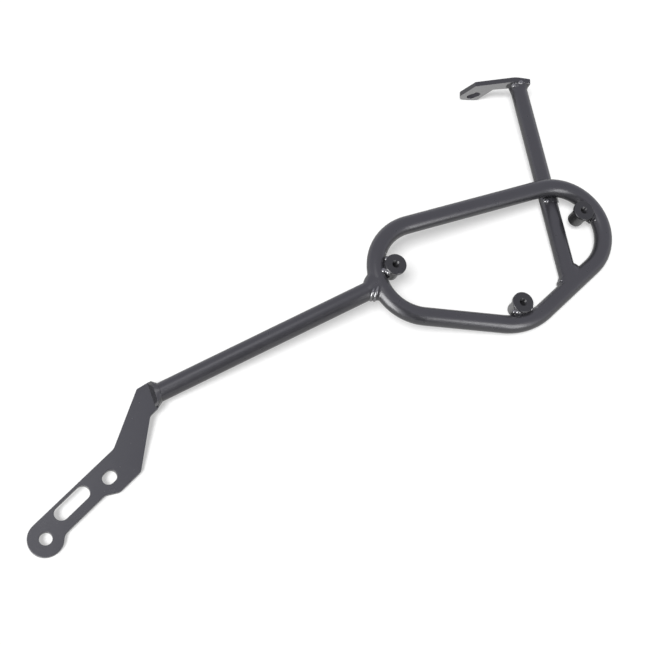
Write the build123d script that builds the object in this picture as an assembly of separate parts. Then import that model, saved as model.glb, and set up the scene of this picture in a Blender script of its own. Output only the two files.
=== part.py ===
# Left pannier frame for a motorbike, a welded tubular steel carrier.
# A closed loop of bent tube carries the bag on three turned bosses. A lower arm runs forward
# from the loop to a flat mounting plate, and an upper stay runs up to a slotted bracket.
# The frame is drawn in the plane of the loop, with X to the rear of the motorbike along the lower
# run, Y up and Z out to the bag. It is then laid on the ground on its inner side, with +Z up.
from build123d import *
import math
import os

# Tube stock, the same for the loop, the arm and the stay
tube_od = 16.0
tube_wall = 2.0

# Loop, measured on the centreline
loop_end_r = 43.5
loop_corner_r = 54.0
loop_corner_angle = 45.0
loop_upper_slope = 22.0
loop_lower_run = 93.3

# Lower arm: where it meets the front bend, and how it runs down, forward and inward
arm_seat_angle = 205.4
arm_drop_angle = 28.9
arm_in_angle = 12.5
arm_length = 213.0

# Lower mounting plate, drawn from its end hole along the line of its two holes
plate_t = 5.0
plate_strap_angle = 49.1
plate_hole_d = 10.5
plate_hole_pitch = 68.7
plate_hole_stretch = 2.4
plate_edge = 14.4
plate_strap_edge = 7.9
plate_slot_len = 34.5
plate_slot_w = 12.2
plate_slot_along = 33.6
plate_slot_across = 6.0
plate_lobe_lead = 2.5
plate_lobe_tail = 21.1
plate_lobe_ramp = 10.2
plate_neck_start = 18.5
plate_neck_len = 53.8
plate_neck_angle = 25.3
plate_nose_len = 13.1
plate_nose_angle = -12.3
plate_weld_len = 23.7
plate_weld_angle = 242.7
plate_heel_len = 9.5
plate_eye_r = 8.0
plate_lobe_r = 6.0
plate_turn_r = 8.0
plate_brow_r = 3.0
plate_end_r = 1.2

# Upper stay: how far up the rear run it is seated, its lean to the front and its length
stay_seat = 59.6
stay_lean_angle = 97.0
stay_length = 225.5

# Upper bracket, drawn from the stay's axis, with its corners taken forward and then inward
bracket_t = 5.0
bracket_near = 10.4
bracket_pad_r = 9.2
bracket_front = 6.0
bracket_arm_len = 39.3
bracket_arm_angle = 152.7
bracket_leg_len = 30.1
bracket_leg_angle = 113.5
bracket_toe_len = 21.1
bracket_toe_angle = -7.1
bracket_inner_len = 25.2
bracket_inner_angle = -68.1
bracket_slot_len = 14.6
bracket_slot_w = 7.0
bracket_slot_forward = 37.4
bracket_slot_inward = 24.3
bracket_slot_angle = 127.0
bracket_corner_r = 1.5
bracket_bend_r = 15.0
bracket_knee_r = 2.5
bracket_toe_r = 5.0
bracket_tail_r = 6.0
bracket_crook_r = 4.0

# Bosses for the bag, turned with a wide head, and their places round the bends
boss_head_d = 19.0
boss_head_t = 3.0
boss_shank_d = 14.0
boss_length = 21.0
boss_proud = 11.0
boss_edge_break = 0.6
boss_bore_d = 5.0
boss_bore_chamfer = 1.0
boss_front_angle = 185.0
boss_lower_angle = -67.5
boss_rear_angle = 41.2

# Weld beads: reach along the tubes, reach under the arm, reach at the bosses and over the plate,
# height over the tubes, thickness at the bead's edge or where it is dressed flush, and how far
# a boss bead stops short of the boss's ends
bead_leg = 4.5
bead_arm_low = 2.9
bead_small = 2.6
bead_proud = 1.2
bead_feather = 0.3
bead_stop = 1.0

tube_r = tube_od / 2
bore_r = tube_r - tube_wall
past_end = 4 * tube_od
out = Vector(0, 0, 1)


def polar(angle, length=1.0):
    turn = math.radians(angle)
    return Vector(length * math.cos(turn), length * math.sin(turn), 0)


def rod(start, direction, length, radius):
    return Solid.make_cylinder(radius, length, Plane(start, z_dir=direction))


# Corners are given in order round the outline, each with the radius that rounds it
def rounded(corners):
    outline = make_face(Polyline(*[corner for corner, radius in corners], close=True))
    for corner, radius in corners:
        if radius > 0:
            outline = fillet(outline.vertices().sort_by_distance(corner)[0], radius)
    return outline


# Loop: the lower run lies along X, the rear run climbs from it and the upper run comes back
rear_dir = polar(loop_corner_angle)
rear_normal = polar(loop_corner_angle + 90)
upper_normal = polar(loop_upper_slope + 90)
corner_vertex = Vector(loop_lower_run, 0, 0)
corner_tangent = loop_corner_r * math.tan(math.radians(loop_corner_angle / 2))
corner_centre = corner_vertex + Vector(-corner_tangent, loop_corner_r, 0)
front_centre = Vector(0, loop_end_r, 0)
upper_start = front_centre + upper_normal * loop_end_r
# The rear bend touches both the rear run and the upper run
rear_offset = rear_normal.dot(corner_vertex) + loop_end_r
upper_offset = upper_normal.dot(upper_start) - loop_end_r
spread = rear_normal.X * upper_normal.Y - rear_normal.Y * upper_normal.X
rear_centre = Vector(
    (rear_offset * upper_normal.Y - upper_offset * rear_normal.Y) / spread,
    (upper_offset * rear_normal.X - rear_offset * upper_normal.X) / spread,
    0,
)


def loop_path():
    rear_turn = 180 + loop_upper_slope - loop_corner_angle
    front_turn = 180 - loop_upper_slope
    lower = Line((0, 0, 0), corner_centre - Vector(0, loop_corner_r, 0))
    corner = CenterArc(corner_centre, loop_corner_r, -90, loop_corner_angle)
    rear = Line(corner @ 1, rear_centre - rear_normal * loop_end_r)
    rear_bend = CenterArc(rear_centre, loop_end_r, loop_corner_angle - 90, rear_turn)
    upper = Line(rear_bend @ 1, upper_start)
    front_bend = CenterArc(front_centre, loop_end_r, loop_upper_slope + 90, front_turn)
    return Wire([run.edge() for run in (lower, corner, rear, rear_bend, upper, front_bend)])


def loop_rod(radius):
    section = Plane((0, 0, 0), x_dir=(0, 1, 0), z_dir=(1, 0, 0)) * Circle(radius)
    return sweep(section, path=loop_path())


def loop_tube():
    return loop_rod(tube_r) - loop_rod(bore_r)


# Lower arm: its axis starts on the front bend's centreline
arm_seat = front_centre + polar(arm_seat_angle, loop_end_r)
arm_in = math.radians(arm_in_angle)
arm_dir = polar(180 + arm_drop_angle, math.cos(arm_in)) - out * math.sin(arm_in)
arm_end = arm_seat + arm_dir * arm_length

# Lower plate: X runs along the line of the holes, and the middle of the end edge is on the arm
plate_turn = Vector(plate_hole_pitch + plate_neck_start, plate_edge, 0)
plate_brow = plate_turn + polar(plate_neck_angle, plate_neck_len)
plate_nose = plate_brow + polar(plate_nose_angle, plate_nose_len)
plate_chin = plate_nose + polar(plate_weld_angle, plate_weld_len)
plate_heel = plate_chin - Vector(plate_heel_len, 0, 0)
seam_middle = (plate_nose + plate_chin) * 0.5
plate_x = polar(plate_strap_angle)
plate_y = polar(plate_strap_angle + 90)
plate_origin = arm_end - plate_x * seam_middle.X - plate_y * seam_middle.Y
plate_plane = Plane(plate_origin, x_dir=plate_x, z_dir=out)
# The seam between the plate and the arm stands square to the plate and faces up the arm
seam_along = polar(plate_strap_angle + plate_weld_angle)
seam_out = out.cross(seam_along)
seam_plane = Plane(arm_end, x_dir=seam_along, z_dir=seam_out)


def plate_outline():
    lobe_start = plate_hole_pitch - plate_lobe_lead
    corners = [
        (Vector(0, plate_edge, 0), 0),
        (plate_turn, plate_turn_r),
        (plate_brow, plate_brow_r),
        (plate_nose, plate_end_r),
        (plate_chin, plate_end_r),
        (plate_heel, plate_lobe_r),
        (Vector(plate_hole_pitch + plate_lobe_tail, -plate_edge, 0), plate_lobe_r),
        (Vector(lobe_start, -plate_edge, 0), plate_lobe_r),
        (Vector(lobe_start - plate_lobe_ramp, -plate_strap_edge, 0), plate_lobe_r),
        (Vector(0, -plate_strap_edge, 0), 0),
    ]
    outline = rounded(corners) + Circle(plate_edge)
    throat = Vector(math.sqrt(plate_edge**2 - plate_strap_edge**2), -plate_strap_edge, 0)
    outline = fillet(outline.vertices().sort_by_distance(throat)[0], plate_eye_r)
    outline -= Circle(plate_hole_d / 2)
    outline -= Pos(plate_hole_pitch, 0) * SlotOverall(plate_hole_d + plate_hole_stretch, plate_hole_d)
    outline -= Pos(plate_slot_along, plate_slot_across) * SlotOverall(plate_slot_len, plate_slot_w)
    return outline


def lower_mount_plate():
    return extrude(plate_plane * plate_outline(), plate_t / 2, both=True)


# The arm's open end is cut along the seam, and the other end is saddled over the loop
def arm_rod(radius):
    beyond = seam_plane * Pos(0, 0, -past_end) * Box(past_end, past_end, 2 * past_end)
    return rod(arm_seat, arm_dir, arm_length + past_end / 2, radius) - beyond


def lower_arm_tube():
    return arm_rod(tube_r) - loop_rod(tube_r) - arm_rod(bore_r)


# Upper stay: seated on the rear run, it leans in until it lies against the back of the upper run
stay_foot = corner_vertex + rear_dir * stay_seat
stay_reach = upper_normal.dot(upper_start - stay_foot)
stay_cross = math.sin(math.radians(stay_lean_angle - loop_upper_slope))
stay_in = math.atan(tube_od * stay_cross / math.sqrt(stay_reach**2 - tube_od**2))
stay_dir = polar(stay_lean_angle, math.cos(stay_in)) - out * math.sin(stay_in)
stay_end = stay_foot + stay_dir * stay_length
stay_crossing = stay_foot + stay_dir * (stay_reach / stay_cross / math.cos(stay_in))

# Upper bracket: it stands square to the loop on the stay's end, X to the rear and Y inward
bracket_plane = Plane(stay_end, x_dir=(1, 0, 0), z_dir=(0, 1, 0))
bracket_bend = Vector(-bracket_front, -bracket_near, 0)
bracket_knee = bracket_bend + polar(bracket_arm_angle, bracket_arm_len)
bracket_toe = bracket_knee + polar(bracket_leg_angle, bracket_leg_len)
bracket_tail = bracket_toe + polar(bracket_toe_angle, bracket_toe_len)
bracket_crook = bracket_tail + polar(bracket_inner_angle, bracket_inner_len)


# The stay's open end is cut level with the underside of the bracket
def stay_rod(radius):
    beyond = bracket_plane * Pos(0, 0, past_end) * Box(past_end, past_end, 2 * past_end)
    return rod(stay_foot, stay_dir, stay_length + past_end / 2, radius) - beyond


def upper_stay_tube():
    return stay_rod(tube_r) - loop_rod(tube_r) - stay_rod(bore_r)


def bracket_outline():
    corners = [
        (Vector(bracket_pad_r, -bracket_near, 0), bracket_corner_r),
        (bracket_bend, bracket_bend_r),
        (bracket_knee, bracket_knee_r),
        (bracket_toe, bracket_toe_r),
        (bracket_tail, bracket_tail_r),
        (bracket_crook, bracket_crook_r),
        (Vector(0, 0, 0), 0),
        (Vector(bracket_pad_r, 0, 0), 0),
    ]
    return rounded(corners) + Circle(bracket_pad_r)


def upper_mount_bracket():
    slot = Rot(0, 0, bracket_slot_angle) * SlotOverall(bracket_slot_len, bracket_slot_w)
    outline = bracket_outline() - Pos(-bracket_slot_forward, bracket_slot_inward) * slot
    return extrude(bracket_plane * outline, bracket_t)


# Bosses: each shank touches the inside of its bend
boss_back = boss_proud - boss_length
boss_step = boss_proud - boss_head_t
boss_shank_r = boss_shank_d / 2
boss_seat = tube_r + boss_shank_r
boss_places = {
    "front": front_centre + polar(boss_front_angle, loop_end_r - boss_seat),
    "lower": corner_centre + polar(boss_lower_angle, loop_corner_r - boss_seat),
    "rear": rear_centre + polar(boss_rear_angle, loop_end_r - boss_seat),
}


def bag_boss(place):
    bore = boss_bore_d / 2
    head = boss_head_d / 2
    profile = Polyline(
        (bore, boss_back),
        (boss_shank_r - boss_edge_break, boss_back),
        (boss_shank_r, boss_back + boss_edge_break),
        (boss_shank_r, boss_step),
        (head, boss_step),
        (head, boss_proud - boss_edge_break),
        (head - boss_edge_break, boss_proud),
        (bore + boss_bore_chamfer, boss_proud),
        (bore, boss_proud - boss_bore_chamfer),
        close=True,
    )
    return Pos(place) * revolve(Plane.XZ * make_face(profile), Axis.Z)


# Half the height of the mark that a leaning tube leaves on a face with the given normal
def mark_height(direction, normal):
    return tube_r * math.hypot(1, direction.Z / direction.dot(normal))


# A bead round the foot of a tube that stands on the loop: it spreads along the loop, with its own
# reach on the lower side, is dressed flush over the sides of the tubes and is cut to fit both
def foot_bead(foot, direction, normal, low_leg):
    across = out.cross(normal)
    rise = direction.dot(normal)
    half_long = tube_r * math.hypot(1, direction.dot(across) / rise)
    half_high = mark_height(direction, normal)
    sections = []
    for height, leg, low in (
        (tube_r + bead_leg, bead_feather, bead_feather),
        (tube_r, bead_leg, low_leg),
        (0, bead_leg, low_leg),
    ):
        middle = foot + direction * (height / rise) + across * ((low - leg) / 2)
        level = Plane(middle, x_dir=across, z_dir=normal)
        sections.append(level * Ellipse(half_long + (leg + low) / 2, half_high + bead_feather))
    return loft(sections) - loop_rod(tube_r)


def weld_arm_loop():
    return foot_bead(arm_seat, arm_dir, polar(arm_seat_angle), bead_arm_low) - arm_rod(tube_r)


def weld_stay_rear_run():
    return foot_bead(stay_foot, stay_dir, rear_normal, bead_leg) - stay_rod(tube_r)


# The stay lies against the upper run, so this bead fills the gap round the place where they touch
def weld_stay_upper_run():
    fill = loop_rod(tube_r + bead_leg) & stay_rod(tube_r + bead_proud)
    contact = Vector(stay_crossing.X, stay_crossing.Y, stay_crossing.Z / 2)
    return (fill & Pos(contact) * Sphere(tube_od)) - loop_rod(tube_r) - stay_rod(tube_r)


# The bead under the bracket reaches to the edges of the pad, and its near edge is further out
def weld_stay_bracket():
    half_deep = (bracket_pad_r + bracket_near) / 2
    pad = bracket_plane * Pos(0, bracket_pad_r - half_deep) * Ellipse(bracket_pad_r, half_deep)
    foot = Plane(stay_end - stay_dir * bead_leg, z_dir=stay_dir)
    return loft([pad, foot * Circle(tube_r + bead_feather)]) - stay_rod(tube_r)


# The bead on the plate's end edge closes the arm's open end
def weld_arm_plate():
    up_arm = bead_leg / arm_dir.dot(seam_out)
    neck = Plane(arm_end + arm_dir * up_arm, x_dir=seam_along, z_dir=seam_out)
    toe = Plane(arm_end - seam_out * bead_small, x_dir=seam_along, z_dir=seam_out)
    ridge = seam_plane * RectangleRounded(plate_weld_len - bead_proud, tube_od + 2 * bead_proud, bead_leg)
    lip = RectangleRounded(plate_weld_len - 2 * bead_proud, plate_t + 2 * bead_proud, bead_small)
    bead = loft([neck * Circle(tube_r + bead_proud / 2), ridge]) + loft([ridge, toe * lip])
    return bead - arm_rod(tube_r) - lower_mount_plate()


def weld_boss(place):
    foot = place + out * (boss_back + bead_stop)
    height = boss_step - boss_back - 2 * bead_stop
    fill = loop_rod(tube_r + bead_small) & rod(foot, out, height, boss_shank_r + bead_small)
    return fill - loop_rod(tube_r) - rod(place + out * boss_back, out, boss_length, boss_shank_r)


def pieces():
    named = {
        "loop_tube": loop_tube(),
        "lower_arm_tube": lower_arm_tube(),
        "lower_mount_plate": lower_mount_plate(),
        "upper_stay_tube": upper_stay_tube(),
        "upper_mount_bracket": upper_mount_bracket(),
        "weld_arm_loop": weld_arm_loop(),
        "weld_arm_plate": weld_arm_plate(),
        "weld_stay_rear_run": weld_stay_rear_run(),
        "weld_stay_upper_run": weld_stay_upper_run(),
        "weld_stay_bracket": weld_stay_bracket(),
    }
    for where, place in boss_places.items():
        named["bag_boss_" + where] = bag_boss(place)
        named["weld_boss_" + where] = weld_boss(place)
    return named


# The frame lies on the plate's round end, the bracket's inner corner and the back of the loop,
# where the lower of the rear bend and the stay's foot bead touches.
# The lowest points depend on the slope, so the slope is found by a few repeats.
def ground():
    plate_eye = plate_origin - out * (plate_t / 2)
    bead_low = stay_foot - out * (mark_height(stay_dir, rear_normal) + bead_feather)
    to_toe = (bracket_toe - bracket_tail).normalized()
    to_crook = (bracket_crook - bracket_tail).normalized()
    half_corner = math.acos(to_toe.dot(to_crook)) / 2
    tail = bracket_tail + (to_toe + to_crook).normalized() * (bracket_tail_r / math.sin(half_corner))
    up = out
    downhill = Vector(1, -1, 0).normalized()
    for _ in range(20):
        fall = Vector(-up.X, up.Z, 0).normalized() * bracket_tail_r
        tail_low = stay_end + Vector(tail.X + fall.X, 0, -tail.Y - fall.Y)
        plate_low = plate_eye + downhill * plate_edge
        bend_low = rear_centre + downhill * loop_end_r - up * tube_r
        back_low = min(bend_low, bead_low, key=up.dot)
        up = (back_low - plate_low).cross(tail_low - plate_low).normalized()
        downhill = Vector(-up.X, -up.Y, 0).normalized()
    return Plane(plate_low, x_dir=Vector(1, 0, 0) - up * up.X, z_dir=up)


def main():
    to_ground = ground().location.inverse()
    laid = {name: to_ground * piece for name, piece in pieces().items()}
    box = Compound([solid for piece in laid.values() for solid in piece.solids()]).bounding_box()
    home = Pos(-box.center().X, -box.center().Y, -box.min.Z)
    os.makedirs("parts", exist_ok=True)
    for name, piece in laid.items():
        export_step(home * piece, "parts/" + name + ".step")


main()
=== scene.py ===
# Looks for the pannier frame, in metres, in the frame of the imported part
import math
import bmesh
import bpy
from mathutils import Matrix, Quaternion, Vector
from mathutils.bvhtree import BVHTree


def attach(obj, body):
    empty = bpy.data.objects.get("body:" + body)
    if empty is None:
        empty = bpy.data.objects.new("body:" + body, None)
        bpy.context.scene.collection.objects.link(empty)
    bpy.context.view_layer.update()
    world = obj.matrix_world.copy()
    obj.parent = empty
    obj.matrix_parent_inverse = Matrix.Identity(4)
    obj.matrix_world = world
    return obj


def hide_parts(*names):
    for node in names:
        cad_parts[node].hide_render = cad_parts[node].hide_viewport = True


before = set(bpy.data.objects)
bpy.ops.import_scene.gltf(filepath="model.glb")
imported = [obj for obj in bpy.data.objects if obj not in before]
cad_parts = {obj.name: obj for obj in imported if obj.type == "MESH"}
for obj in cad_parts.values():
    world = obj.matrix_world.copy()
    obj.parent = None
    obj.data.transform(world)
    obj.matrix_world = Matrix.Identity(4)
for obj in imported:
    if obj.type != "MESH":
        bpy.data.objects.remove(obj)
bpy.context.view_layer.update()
scene = bpy.context.scene
scene.view_settings.view_transform = "Standard"
mm = 0.001
mergeGap = 0.001 * mm  # points nearer than this are one
print("frame loaded:", len(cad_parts), "nodes")

# the way the loop faces, and its tube
loopOut = Vector((0.20769, -0.20872, 0.95567))
tubeRadius = 8 * mm

# the view of the photograph, 645 x 645
viewer = {
    "place": (-23.21, -559.43, 862.05),  # mm
    "aim": (-14.76, -24.78, -0.1),
    "roll": -0.35,  # degrees
    "lens": 64.19,
    "sensor": 36,
}


def point(millimetres):
    return Vector(millimetres) * mm


def addObject(name, data):
    thing = bpy.data.objects.new(name, data)
    scene.collection.objects.link(thing)
    return thing


def lookFrom(thing, place, aim, roll=0):
    turn = Quaternion((0, 0, 1), math.radians(roll))
    thing.location = place
    thing.rotation_euler = ((aim - place).to_track_quat("-Z", "Y") @ turn).to_euler()


def makeCamera():
    lens = bpy.data.cameras.new("camera")
    lens.lens = viewer["lens"]
    lens.sensor_width = viewer["sensor"]
    camera = addObject("camera", lens)
    lookFrom(camera, point(viewer["place"]), point(viewer["aim"]), viewer["roll"])
    scene.camera = camera


makeCamera()
print("camera set")

# finishes: linear shades, sizes in mm, roughness from the smooth to the dull spots
coats = {
    "tube": {
        "shades": ((0.026, 0.0255, 0.030), (0.032, 0.0315, 0.0367)),
        "cloudSize": 38,
        "gloss": 0.85,
        "rough": (0.27, 0.33),
        "roughSize": 7,
        "peelSize": 1.1,
        "peelHeight": 0.022,
        "grainSize": 0.28,
        "grainHeight": 0.006,
        "edgeRadius": 0.5,
        "edgeShade": (0.060, 0.060, 0.064),
    },
    "plate": {
        "shades": ((0.030, 0.030, 0.0355), (0.036, 0.036, 0.0425)),
        "cloudSize": 45,
        "gloss": 0.85,
        "rough": (0.23, 0.28),
        "roughSize": 9,
        "peelSize": 1.0,
        "peelHeight": 0.020,
        "grainSize": 0.26,
        "grainHeight": 0.003,
        "edgeRadius": 0.7,
        "edgeShade": (0.065, 0.065, 0.070),
    },
    "bracket": {
        # shades darker than the other coats, so its edge faces render darker: painted shade
        "shades": ((0.018, 0.018, 0.021), (0.024, 0.024, 0.028)),
        "cloudSize": 30,
        "gloss": 0.85,
        # painted reflection: the flat facing front and down reflects more, by a higher IOR
        "paintedReflection": {"towards": (-0.0443, -0.978, -0.204), "dots": (0.8, 0.95), "ior": 2.8},
        "rough": (0.20, 0.26),
        "roughSize": 9,
        "peelSize": 1.0,
        "peelHeight": 0.016,
        "grainSize": 0.26,
        "grainHeight": 0.005,
        "edgeRadius": 0.6,
        "edgeShade": (0.065, 0.065, 0.070),
    },
    "weld": {
        "shades": ((0.025, 0.0245, 0.028), (0.034, 0.0335, 0.0375)),
        "cloudSize": 6,
        "gloss": 1.0,
        "rough": (0.17, 0.24),
        "roughSize": 3,
        "peelSize": 0.9,
        "peelHeight": 0.008,
        "grainSize": 0.24,
        "grainHeight": 0.002,
        "edgeRadius": 0.3,
        "edgeShade": (0.055, 0.055, 0.059),
    },
    # a paler copy of the weld coat with a higher IOR: painted highlight on the weld drops and
    # ridges
    "drop": {
        "shades": ((0.028, 0.0275, 0.031), (0.036, 0.0355, 0.040)),
        "cloudSize": 6,
        "gloss": 1.0,
        "ior": 1.9,
        "rough": (0.17, 0.24),
        "roughSize": 3,
        "peelSize": 0.9,
        "peelHeight": 0.006,
        "grainSize": 0.24,
        "grainHeight": 0.002,
        "edgeRadius": 0.3,
        "edgeShade": (0.055, 0.055, 0.059),
    },
    "boss": {
        "shades": ((0.016, 0.016, 0.018), (0.022, 0.022, 0.024)),
        "cloudSize": 12,
        "gloss": 0.65,
        # painted reflection: the sides of head and shank reflect more, by a higher IOR
        "paintedReflection": {"towards": loopOut, "dots": (0.6, 0.3), "ior": 2.8},
        "rough": (0.26, 0.34),
        "roughSize": 4,
        "peelSize": 0.8,
        "peelHeight": 0.016,
        "grainSize": 0.24,
        "grainHeight": 0.005,
        "edgeRadius": 0.4,
        "edgeShade": (0.060, 0.060, 0.064),
    },
}
paint = {  # the same in every coat
    "ior": 1.5,
    "glossSpan": (0.3, 0.7),  # of the noise, from the smooth to the dull spots
    "edgeDots": (0.97, 0.80),  # of the two normals at an edge, from no wear to the most
    "wornSize": 2.5,  # mm
}


def powderCoat(name, coat):
    material = bpy.data.materials.new(name)
    material.use_nodes = True
    nodes, links = material.node_tree.nodes, material.node_tree.links
    shader = nodes["Principled BSDF"]
    shader.inputs["IOR"].default_value = coat.get("ior", paint["ior"])
    shader.inputs["Specular IOR Level"].default_value = coat["gloss"]
    place = nodes.new("ShaderNodeTexCoord")

    def noiseOf(size, detail):
        texture = nodes.new("ShaderNodeTexNoise")
        texture.inputs["Scale"].default_value = 1 / (size * mm)
        texture.inputs["Detail"].default_value = detail
        links.new(place.outputs["Object"], texture.inputs["Vector"])
        return texture.outputs["Fac"]

    if "paintedReflection" in coat:  # painted reflection: the faces that look one way get a higher IOR and reflect more
        side = nodes.new("ShaderNodeNewGeometry")
        facing = nodes.new("ShaderNodeVectorMath")
        facing.operation = "DOT_PRODUCT"
        facing.inputs[1].default_value = coat["paintedReflection"]["towards"]
        links.new(side.outputs["Normal"], facing.inputs[0])
        paintedReflectionIor = nodes.new("ShaderNodeMapRange")
        paintedReflectionIor.inputs["From Min"].default_value = coat["paintedReflection"]["dots"][0]
        paintedReflectionIor.inputs["From Max"].default_value = coat["paintedReflection"]["dots"][1]
        paintedReflectionIor.inputs["To Min"].default_value = paint["ior"]
        paintedReflectionIor.inputs["To Max"].default_value = coat["paintedReflection"]["ior"]
        links.new(facing.outputs["Value"], paintedReflectionIor.inputs["Value"])
        links.new(paintedReflectionIor.outputs["Result"], shader.inputs["IOR"])

    clouds = nodes.new("ShaderNodeMix")  # slow drift of the black
    clouds.data_type = "RGBA"
    clouds.inputs["A"].default_value = (*coat["shades"][0], 1)
    clouds.inputs["B"].default_value = (*coat["shades"][1], 1)
    links.new(noiseOf(coat["cloudSize"], detail=3), clouds.inputs["Factor"])

    softEdge = nodes.new("ShaderNodeBevel")  # the coat thins where an edge turns
    softEdge.inputs["Radius"].default_value = coat["edgeRadius"] * mm
    sharpEdge = nodes.new("ShaderNodeNewGeometry")
    edgeTurn = nodes.new("ShaderNodeVectorMath")
    edgeTurn.operation = "DOT_PRODUCT"
    links.new(softEdge.outputs["Normal"], edgeTurn.inputs[0])
    links.new(sharpEdge.outputs["Normal"], edgeTurn.inputs[1])
    thin = nodes.new("ShaderNodeMapRange")
    thin.inputs["From Min"].default_value = paint["edgeDots"][0]
    thin.inputs["From Max"].default_value = paint["edgeDots"][1]
    links.new(edgeTurn.outputs["Value"], thin.inputs["Value"])
    patchy = nodes.new("ShaderNodeMath")
    patchy.operation = "MULTIPLY"
    links.new(thin.outputs["Result"], patchy.inputs[0])
    links.new(noiseOf(paint["wornSize"], detail=4), patchy.inputs[1])
    worn = nodes.new("ShaderNodeMix")
    worn.data_type = "RGBA"
    worn.inputs["B"].default_value = (*coat["edgeShade"], 1)
    links.new(patchy.outputs["Value"], worn.inputs["Factor"])
    links.new(clouds.outputs["Result"], worn.inputs["A"])
    links.new(worn.outputs["Result"], shader.inputs["Base Color"])

    gloss = nodes.new("ShaderNodeMapRange")
    gloss.inputs["From Min"].default_value = paint["glossSpan"][0]
    gloss.inputs["From Max"].default_value = paint["glossSpan"][1]
    gloss.inputs["To Min"].default_value = coat["rough"][0]
    gloss.inputs["To Max"].default_value = coat["rough"][1]
    links.new(noiseOf(coat["roughSize"], detail=4), gloss.inputs["Value"])
    links.new(gloss.outputs["Result"], shader.inputs["Roughness"])

    peel = nodes.new("ShaderNodeBump")  # orange peel, with a finer grain over it
    peel.inputs["Distance"].default_value = coat["peelHeight"] * mm
    links.new(noiseOf(coat["peelSize"], detail=1), peel.inputs["Height"])
    grain = nodes.new("ShaderNodeBump")
    grain.inputs["Distance"].default_value = coat["grainHeight"] * mm
    links.new(noiseOf(coat["grainSize"], detail=2), grain.inputs["Height"])
    links.new(softEdge.outputs["Normal"], peel.inputs["Normal"])
    links.new(peel.outputs["Normal"], grain.inputs["Normal"])
    links.new(grain.outputs["Normal"], shader.inputs["Normal"])
    return material


# the rear boss has the coat without the painted reflection on its sides
coats["bossNoPaintedReflection"] = {key: value for key, value in coats["boss"].items() if key != "paintedReflection"}
finishes = {name: powderCoat(name + "_coat", coat) for name, coat in coats.items()}
nodeFinish = {
    "loop_tube": "tube",
    "lower_arm_tube": "tube",
    "upper_stay_tube": "tube",
    "lower_mount_plate": "plate",
    "upper_mount_bracket": "bracket",
}


def giveFinish(thing, finish):
    thing.data.materials.clear()
    thing.data.materials.append(finishes[finish])


for nodeName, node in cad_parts.items():
    giveFinish(node, nodeFinish.get(nodeName, "weld"))
print("coats on", len(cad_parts), "nodes")


def addPiece(name, meshMaker, finish):
    mesh = bpy.data.meshes.new(name)
    meshMaker.to_mesh(mesh)
    meshMaker.free()
    mesh.shade_smooth()
    piece = addObject(name, mesh)
    giveFinish(piece, finish)
    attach(piece, "root")
    return piece


# welded joints: a skin blends what is joined, and stands for the bead
joints = {
    "arm_loop": {
        "bead": "weld_arm_loop",
        "joins": ("loop_tube", "lower_arm_tube"),
        "reach": 24,  # mm of tube under the skin
        "foot": (35.20, -14.02, 41.77),
        "axis": (-0.9011, -0.4163, -0.1216),
        "ridges": (1.5, 5.5),  # mm up the tube from the seam
        "span": (14, 120),  # degrees round the tube, from the outer side to the lower one
        "ridge": 1.6,  # mm
        "sink": 0.5,
    },
    "stay_rear_run": {
        "bead": "weld_stay_rear_run",
        "joins": ("loop_tube", "upper_stay_tube"),
        "reach": 24,
        "foot": (206.72, 2.91, 8.19),
        "axis": (-0.1077, 0.9917, 0.0705),
        "ridges": (0,),
        "span": (60, 170),
        "ridge": 1.2,
        "sink": 0.5,
    },
    "stay_bracket": {
        "bead": "weld_stay_bracket",
        "joins": ("upper_mount_bracket", "upper_stay_tube"),
        "reach": 15,
        "foot": (182.42, 226.53, 24.08),
        "ridges": (),
    },
}
skin = {"voxel": 0.4, "rounds": 30, "pull": 0.5}  # mm, and how often and how far it is smoothed
ridgeLook = {
    "every": 4,  # degrees between its points
    "off": 12,  # mm from the skin, where the search for it starts
    "search": 20,
    "roundness": 5,
    "fineness": 6,
    "taper": 0.7,
}


def clearBeyond(bm, place, outward):  # cut off and closed
    bmesh.ops.bisect_plane(
        bm,
        geom=bm.verts[:] + bm.edges[:] + bm.faces[:],
        plane_co=place,
        plane_no=outward,
        clear_outer=True,
    )
    bmesh.ops.holes_fill(bm, edges=[edge for edge in bm.edges if edge.is_boundary])


def applyModifiers(piece):
    graph = bpy.context.evaluated_depsgraph_get()
    made = bpy.data.meshes.new_from_object(piece.evaluated_get(graph))
    piece.modifiers.clear()
    old = piece.data
    piece.data = made
    made.name = piece.name
    bpy.data.meshes.remove(old)


def fuse(piece, voxel):  # one skin over what overlaps
    remesh = piece.modifiers.new("fuse", "REMESH")
    remesh.mode = "VOXEL"
    remesh.voxel_size = voxel * mm
    remesh.use_smooth_shade = True
    applyModifiers(piece)


def blendJoint(name, joint):
    bm = bmesh.new()
    for nodeName in (*joint["joins"], joint["bead"]):
        bm.from_mesh(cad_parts[nodeName].data)
    bmesh.ops.remove_doubles(bm, verts=bm.verts, dist=mergeGap)
    for way in (Vector((1, 0, 0)), Vector((0, 1, 0))):
        for outward in (way, -way):
            clearBeyond(bm, point(joint["foot"]) + outward * joint["reach"] * mm, outward)
    piece = addPiece("joint_" + name, bm, "tube")
    fuse(piece, skin["voxel"])
    bm = bmesh.new()
    bm.from_mesh(piece.data)
    for smoothing in range(skin["rounds"]):
        bmesh.ops.smooth_vert(
            bm,
            verts=bm.verts,
            factor=skin["pull"],
            use_axis_x=True,
            use_axis_y=True,
            use_axis_z=True,
        )
    bm.to_mesh(piece.data)
    bm.free()
    piece.data.shade_smooth()
    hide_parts(joint["bead"])
    return piece


def surfaceOf(*meshes):
    corners, faces = [], []
    for mesh in meshes:
        start = len(corners)
        corners += [vertex.co for vertex in mesh.vertices]
        faces += [[start + corner for corner in face.vertices] for face in mesh.polygons]
    return BVHTree.FromPolygons(corners, faces)


def roundTube(axis, face, degrees):
    face = (face - axis * face.dot(axis)).normalized()
    angle = math.radians(degrees)
    return face * math.cos(angle) + face.cross(axis) * math.sin(angle)


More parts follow.
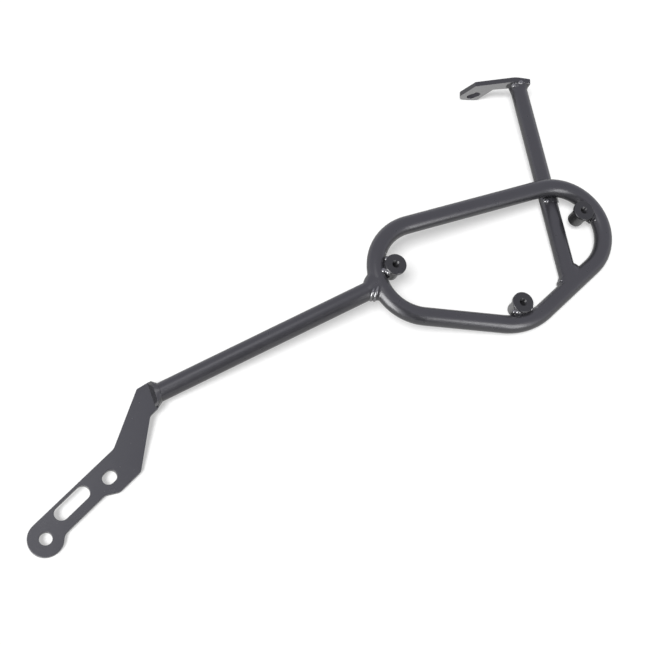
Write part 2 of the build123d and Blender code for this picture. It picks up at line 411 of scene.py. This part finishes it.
def layRidge(name, joint, offset, joined):  # a pass of weld along the seam, thin at its ends
    loopSurface = surfaceOf(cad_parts["loop_tube"].data)
    foot, axis = point(joint["foot"]), Vector(joint["axis"]).normalized()
    first, last = joint["span"]
    upTube = 4 * tubeRadius
    spots = []
    for degrees in range(first, last, ridgeLook["every"]):
        radial = roundTube(axis, loopOut, degrees)
        edge = foot + radial * tubeRadius
        seam, normal = loopSurface.ray_cast(edge + axis * upTube, -axis, 2 * upTube)[:2]
        if seam is None:
            continue
        outward = (radial + normal).normalized()
        start = seam + axis * offset * mm + outward * ridgeLook["off"] * mm
        spot, slope = joined.ray_cast(start, -outward, ridgeLook["search"] * mm)[:2]
        if spot is not None:
            spots.append(spot - slope * joint["sink"] * mm)
    path = bpy.data.curves.new(name, "CURVE")
    path.dimensions = "3D"
    path.bevel_depth = joint["ridge"] * mm
    path.bevel_resolution = ridgeLook["roundness"]
    path.resolution_u = ridgeLook["fineness"]
    path.use_fill_caps = True
    line = path.splines.new("NURBS")
    line.points.add(len(spots) - 1)
    line.use_endpoint_u = True
    for index, (spot, knot) in enumerate(zip(spots, line.points)):
        knot.co = (*spot, 1)
        fromMiddle = abs(2 * index / (len(spots) - 1) - 1)
        knot.radius = 1 - ridgeLook["taper"] * fromMiddle ** 4
    ridge = addObject(name, path)
    graph = bpy.context.evaluated_depsgraph_get()
    mesh = bpy.data.meshes.new_from_object(ridge.evaluated_get(graph))
    bpy.data.curves.remove(path)
    bm = bmesh.new()
    bm.from_mesh(mesh)
    bpy.data.meshes.remove(mesh)
    bmesh.ops.remove_doubles(bm, verts=bm.verts, dist=mergeGap)
    bmesh.ops.recalc_face_normals(bm, faces=bm.faces)
    # the ridge takes the paler, more reflective copy of the weld coat: painted highlight
    addPiece(name, bm, "drop")


def makeJoints():
    for name, joint in joints.items():
        joined = surfaceOf(blendJoint(name, joint).data)
        for count, offset in enumerate(joint["ridges"], 1):
            layRidge("ridge_" + name + "_" + str(count), joint, offset, joined)


makeJoints()
print("joints blended:", len(joints))

# small welds: round drops of metal on the beads, places in mm, angles round the axis from the face
drops = {
    "stay_upper_run": {
        "bead": "weld_stay_upper_run",
        "middle": (197.5, 100.7, 23.5),
        "axis": loopOut,
        "face": (0.1077, -0.9917, -0.0705),
        "angles": (-8, 22, 50),
        "half": (3.3, 2.9, 2.5),  # half length, half width and half height of a drop
        "sink": 0.2,
        "tilt": 10,
    },
    "stay_bracket": {
        "bead": "weld_stay_bracket",
        "middle": (182.6, 224.7, 23.95),
        "axis": (-0.1077, 0.9917, 0.0705),
        "face": loopOut,
        "angles": (6, 52),
        "half": (2.9, 2.3, 1.8),
        "sink": 0.2,
        "tilt": 12,
    },
}
bossDrops = {
    "places": ((6.8, 0.0), (3.0, 0.4), (-0.8, 0), (-4.6, 0)),  # up the shank, and to the tube
    "lumps": {  # between the heads and the tube
        "front": ((38.4, -4.9, 50.4), (43.0, -4.7, 48.8)),
        "lower": ((152.2, -29.4, 19.4), (155.4, -30.3, 17.8)),
    },
    "sides": {"front": (1, -1), "lower": (1, -1), "rear": (-1,)},  # of the boss, along the tube
    # the front and lower drops take the paler, more reflective coat as painted highlight, the rear
    # ones the plain weld coat
    "finish": {"front": "drop", "lower": "drop", "rear": "weld"},
    "half": (3.0, 2.6, 2.1),
    "sink": 0.1,
    "tilt": 12,
}
dropLook = {
    "around": 18,
    "rings": 12,
    "voxel": 0.28,  # mm
    "off": 25,  # mm from the middle of a bead, where the search for its face starts
    "bossOff": 15,
    "search": 30,
}
bosses = {  # mm, on their axes
    "front": (46.57, 1.80, 42.75),
    "lower": (157.19, -20.74, 13.79),
    "rear": (221.91, 72.50, 20.08),
}


def addBall(bm, shape):
    around, rings = dropLook["around"], dropLook["rings"]
    bmesh.ops.create_uvsphere(bm, u_segments=around, v_segments=rings, radius=1, matrix=shape)


def layDrop(bm, surface, start, inward, travel, look):
    spot, normal = surface.ray_cast(start, inward, dropLook["search"] * mm)[:2]
    if spot is None:
        return
    long, wide, high = (half * mm for half in look["half"])
    travel = (travel - normal * travel.dot(normal)).normalized()
    turn = Matrix((travel, normal.cross(travel), normal)).transposed()
    lean = Matrix.Rotation(math.radians(look["tilt"]), 3, "Y")
    shape = turn @ lean @ Matrix.Diagonal((long, wide, high))
    seat = Matrix.Translation(spot - normal * high * look["sink"])
    addBall(bm, seat @ shape.to_4x4())


def makeDrops():
    for name, look in drops.items():
        surface = surfaceOf(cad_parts[look["bead"]].data)
        axis = Vector(look["axis"]).normalized()
        bm = bmesh.new()
        for degrees in look["angles"]:
            radial = roundTube(axis, Vector(look["face"]), degrees)
            start = point(look["middle"]) + radial * dropLook["off"] * mm
            layDrop(bm, surface, start, -radial, axis.cross(radial), look)
        # the drops take the paler, more reflective coat: painted highlight
        fuse(addPiece("drops_" + name, bm, "drop"), dropLook["voxel"])
    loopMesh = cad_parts["loop_tube"].data
    for name, place in bosses.items():
        surface = surfaceOf(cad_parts["weld_boss_" + name].data, loopMesh)
        touch = surfaceOf(loopMesh).find_nearest(point(place))[0]
        toTube = (touch - point(place)).normalized()
        alongTube = loopOut.cross(toTube)
        bm = bmesh.new()
        for height, shift in bossDrops["places"]:
            start = touch + loopOut * height * mm + toTube * shift * mm
            for side in bossDrops["sides"][name]:
                outward = alongTube * side
                beside = start + outward * dropLook["bossOff"] * mm
                layDrop(bm, surface, beside, -outward, loopOut, bossDrops)
        for lump in bossDrops["lumps"].get(name, ()):
            shape = Matrix.Diagonal([half * mm for half in bossDrops["half"]]).to_4x4()
            addBall(bm, Matrix.Translation(point(lump)) @ shape)
        fuse(addPiece("drops_boss_" + name, bm, bossDrops["finish"][name]), dropLook["voxel"])


makeDrops()
print("weld drops laid on", len(drops) + len(bosses), "beads")

# bosses: turned blanks, tapped through and countersunk, sizes in mm
turned = {
    "head": 9.5,
    "shank": 7,
    "back": -10,
    "step": 8,
    "proud": 11,
    "edgeBreak": 0.6,
    "soften": 0.2,
    "bore": 2.5,
    "thread": 3.0,
    "pitch": 1.0,
    "countersink": 1.0,
    "overrun": 1,  # of the tap past both ends
    "spare": 2,  # turns of the tap, cut off again
    "coneOver": 0.5,
    "sides": 72,
    "merge": 0.002,
    "sharp": 40,  # degrees
    # the front and lower bosses carry the painted reflection on their sides
    "finish": {"front": "boss", "lower": "boss", "rear": "bossNoPaintedReflection"},
}


def chainOf(bm, corners):
    verts = [bm.verts.new((radius, 0, height)) for radius, height in corners]
    for first, second in zip(verts, verts[1:]):
        bm.edges.new((first, second))
    return verts


def spinRound(bm, rise=0.0):
    sides = turned["sides"]
    bmesh.ops.spin(
        bm,
        geom=bm.verts[:] + bm.edges[:],
        cent=(0, 0, 0),
        axis=(0, 0, 1),
        dvec=(0, 0, rise / sides),
        angle=math.tau,
        steps=sides,
        use_merge=rise == 0,
    )
    bmesh.ops.remove_doubles(bm, verts=bm.verts, dist=turned["merge"])


def bossBlank():
    head, shank, cut = turned["head"], turned["shank"], turned["edgeBreak"]
    back, step, proud = turned["back"], turned["step"], turned["proud"]
    bm = bmesh.new()
    verts = chainOf(bm, [
        (0, back), (shank - cut, back), (shank, back + cut), (shank, step),
        (head, step), (head, proud - cut), (head - cut, proud), (0, proud),
    ])
    bmesh.ops.bevel(
        bm, geom=verts[1:-1], offset=turned["soften"], segments=2, profile=0.5,
        affect="VERTICES", material=-1,
    )
    spinRound(bm)
    bmesh.ops.recalc_face_normals(bm, faces=bm.faces)
    return bm


def tapThread():
    pitch, spare = turned["pitch"], turned["spare"]
    low, high = turned["back"] - turned["overrun"], turned["proud"] + turned["overrun"]
    bm = bmesh.new()
    halves = round(2 * (high - low) / pitch) + 4 * spare
    chainOf(bm, [
        (turned["thread"] if half % 2 else turned["bore"], low - spare * pitch + half * pitch / 2)
        for half in range(halves)
    ])
    spinRound(bm, pitch)
    for height, upper in ((low, False), (high, True)):
        bmesh.ops.bisect_plane(
            bm, geom=bm.verts[:] + bm.edges[:] + bm.faces[:], plane_co=(0, 0, height),
            plane_no=(0, 0, 1), clear_inner=not upper, clear_outer=upper,
        )
    bmesh.ops.holes_fill(bm, edges=bm.edges)
    bmesh.ops.recalc_face_normals(bm, faces=bm.faces)
    return bm


def countersinkCone():
    deep, over = turned["countersink"], turned["coneOver"]
    bm = bmesh.new()
    middle = turned["proud"] + (over - deep) / 2
    bmesh.ops.create_cone(
        bm, cap_ends=True, segments=turned["sides"], radius1=turned["bore"],
        radius2=turned["bore"] + deep + over, depth=deep + over,
        matrix=Matrix.Translation((0, 0, middle)),
    )
    return bm


def tappedBoss():  # cut at the origin, with 1 unit as 1 mm
    mesh = bpy.data.meshes.new("tapped")
    blank = bossBlank()
    blank.to_mesh(mesh)
    blank.free()
    boss = addObject("tapped", mesh)
    cutters = []
    for shape in (tapThread(), countersinkCone()):
        cutter = bpy.data.meshes.new("cutter")
        shape.to_mesh(cutter)
        shape.free()
        cutters.append(cutter)
        cut = boss.modifiers.new("cut", "BOOLEAN")
        cut.operation = "DIFFERENCE"
        cut.solver = "EXACT"
        cut.object = addObject("cutter", cutter)
    applyModifiers(boss)
    bm = bmesh.new()
    bm.from_mesh(boss.data)
    for used in [boss.data] + cutters:
        bpy.data.meshes.remove(used)
    return bm


def makeBosses():
    tapped = tappedBoss()
    upright = loopOut.to_track_quat("Z", "Y").to_matrix().to_4x4()
    for name, place in bosses.items():
        stand = Matrix.Translation(point(place)) @ upright
        bm = tapped.copy()
        bm.transform(stand @ Matrix.Scale(mm, 4))
        boss = addPiece("boss_" + name + "_turned", bm, turned["finish"][name])
        boss.data.set_sharp_from_angle(angle=math.radians(turned["sharp"]))
        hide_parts("bag_boss_" + name)
    tapped.free()


makeBosses()
print("bosses turned and tapped:", len(bosses))


# floor and light
stageSet = {
    "floorSide": 12,  # m
    "floorColor": (0.55, 0.55, 0.55),
    "floorRough": 0.9,
    "floorGlow": {"camera": 0.45, "gloss": 0.1},  # makes the paper white to the camera
    "skyForLight": 0.18,
    "skyInGloss": {"horizon": 1.1, "above": 0.66, "from": 0.35},
    "skyTint": (0.965, 0.955, 1.09),
    "key": {  # even light, not in the gloss
        "from": (-550, -1450, 3000),
        "at": (0, 0, 20),
        "strength": 3.3,
        "angle": 18.5,  # degrees across
    },
    "lamps": {  # places in mm, sides in m, for the gloss alone
        "left": {
            "from": (-359, -418, 240),
            "at": (41, -32, 43),
            "wide": 0.4,
            "high": 0.5,
            "watts": 4.8,
        },
        "right": {
            "from": (480, -510, 240),
            "at": (120, -44, 22),
            "wide": 0.28,
            "high": 0.42,
            "watts": 1.75,
        },
        "top": {
            "from": (-205, -105, 900),
            "at": (-205, -105, 0),
            "wide": 0.36,
            "high": 0.3,
            "watts": 0.4,
        },
    },
    "flags": {  # dark cards that show in the gloss
        "beside_camera": {"middle": (140, -520, 570), "wide": 0.36, "high": 1.06, "shade": 0.02},
        "by_the_arm": {"middle": (107, -230, 105), "wide": 0.12, "high": 0.15, "shade": 0.03},
        "by_the_joint": {"middle": (82, -130, 72), "wide": 0.042, "high": 0.105, "shade": 0.03},
    },
}


def makeFloor():
    bm = bmesh.new()
    bmesh.ops.create_grid(bm, x_segments=1, y_segments=1, size=stageSet["floorSide"] / 2)
    mesh = bpy.data.meshes.new("floor")
    bm.to_mesh(mesh)
    bm.free()
    floor = addObject("floor", mesh)
    paper = bpy.data.materials.new("white_paper")
    paper.use_nodes = True
    paper.cycles.emission_sampling = "NONE"
    tree = paper.node_tree
    shader = tree.nodes["Principled BSDF"]
    shader.inputs["Base Color"].default_value = (*stageSet["floorColor"], 1)
    shader.inputs["Roughness"].default_value = stageSet["floorRough"]
    shader.inputs["Specular IOR Level"].default_value = 0
    rays = tree.nodes.new("ShaderNodeLightPath")
    glow = tree.nodes.new("ShaderNodeEmission")
    share = tree.nodes.new("ShaderNodeMath")
    share.operation = "MULTIPLY_ADD"
    share.inputs[1].default_value = stageSet["floorGlow"]["camera"]
    straight = tree.nodes.new("ShaderNodeMath")
    straight.operation = "MAXIMUM"
    tree.links.new(rays.outputs["Is Camera Ray"], straight.inputs[0])
    tree.links.new(rays.outputs["Is Transmission Ray"], straight.inputs[1])
    mirrored = tree.nodes.new("ShaderNodeMath")
    mirrored.operation = "MULTIPLY"
    mirrored.inputs[1].default_value = stageSet["floorGlow"]["gloss"]
    tree.links.new(rays.outputs["Is Glossy Ray"], mirrored.inputs[0])
    tree.links.new(straight.outputs["Value"], share.inputs[0])
    tree.links.new(mirrored.outputs["Value"], share.inputs[2])
    tree.links.new(share.outputs["Value"], glow.inputs["Strength"])
    both = tree.nodes.new("ShaderNodeAddShader")
    tree.links.new(shader.outputs["BSDF"], both.inputs[0])
    tree.links.new(glow.outputs["Emission"], both.inputs[1])
    tree.links.new(both.outputs["Shader"], tree.nodes["Material Output"].inputs["Surface"])
    mesh.materials.append(paper)


def makeFlags():
    for name, flag in stageSet["flags"].items():
        bm = bmesh.new()
        bmesh.ops.create_grid(bm, x_segments=1, y_segments=1, size=0.5)
        turn = Matrix.Rotation(math.radians(90), 4, "X")
        size = Matrix.Diagonal((flag["wide"], flag["high"], 1, 1))
        bm.transform(Matrix.Translation(point(flag["middle"])) @ turn @ size)
        mesh = bpy.data.meshes.new("flag_" + name)
        bm.to_mesh(mesh)
        bm.free()
        card = addObject("flag_" + name, mesh)
        card.visible_camera = False
        card.visible_diffuse = False
        card.visible_shadow = False
        cloth = bpy.data.materials.new("dark_card")
        cloth.use_nodes = True
        shade = (*[flag["shade"]] * 3, 1)
        cloth.node_tree.nodes["Principled BSDF"].inputs["Base Color"].default_value = shade
        mesh.materials.append(cloth)


def makeSky():
    sky = bpy.data.worlds.new("studio")
    scene.world = sky
    sky.use_nodes = True
    sky.cycles.sampling_method = "NONE"
    tree = sky.node_tree
    background = tree.nodes["Background"]
    gloss = stageSet["skyInGloss"]
    way = tree.nodes.new("ShaderNodeTexCoord")
    parts = tree.nodes.new("ShaderNodeSeparateXYZ")
    tree.links.new(way.outputs["Generated"], parts.inputs["Vector"])
    height = tree.nodes.new("ShaderNodeMapRange")  # paler towards the horizon
    height.interpolation_type = "SMOOTHSTEP"
    height.inputs["From Max"].default_value = gloss["from"]
    height.inputs["To Min"].default_value = gloss["horizon"]
    height.inputs["To Max"].default_value = gloss["above"]
    tree.links.new(parts.outputs["Z"], height.inputs["Value"])
    rays = tree.nodes.new("ShaderNodeLightPath")
    tint = tree.nodes.new("ShaderNodeMix")
    tint.data_type = "RGBA"
    tint.inputs["A"].default_value = (1, 1, 1, 1)
    tint.inputs["B"].default_value = (*stageSet["skyTint"], 1)
    tree.links.new(rays.outputs["Is Glossy Ray"], tint.inputs["Factor"])
    tree.links.new(tint.outputs["Result"], background.inputs["Color"])
    mirrored = tree.nodes.new("ShaderNodeMapRange")
    mirrored.inputs["To Min"].default_value = stageSet["skyForLight"]
    tree.links.new(height.outputs["Result"], mirrored.inputs["To Max"])
    tree.links.new(rays.outputs["Is Glossy Ray"], mirrored.inputs["Value"])
    straight = tree.nodes.new("ShaderNodeMath")
    straight.operation = "MAXIMUM"
    tree.links.new(rays.outputs["Is Camera Ray"], straight.inputs[0])
    tree.links.new(rays.outputs["Is Transmission Ray"], straight.inputs[1])
    level = tree.nodes.new("ShaderNodeMath")
    level.operation = "MAXIMUM"
    tree.links.new(mirrored.outputs["Result"], level.inputs[0])
    tree.links.new(straight.outputs["Value"], level.inputs[1])
    tree.links.new(level.outputs["Value"], background.inputs["Strength"])


def makeKey():
    key = stageSet["key"]
    light = bpy.data.lights.new("key", "SUN")
    light.energy = key["strength"]
    light.angle = math.radians(key["angle"])
    holder = addObject("key", light)
    holder.visible_camera = False
    holder.visible_glossy = False
    lookFrom(holder, point(key["from"]), point(key["at"]))


def makeLamps():
    for name, lamp in stageSet["lamps"].items():
        light = bpy.data.lights.new(name, "AREA")
        light.shape = "RECTANGLE"
        light.size = lamp["wide"]
        light.size_y = lamp["high"]
        light.energy = lamp["watts"]
        holder = addObject(name, light)
        holder.visible_camera = False
        holder.visible_diffuse = False
        lookFrom(holder, point(lamp["from"]), point(lamp["at"]))


makeFloor()
makeFlags()
makeSky()
makeKey()
makeLamps()
print("floor and", len(stageSet["lamps"]) + 1, "lamps set")
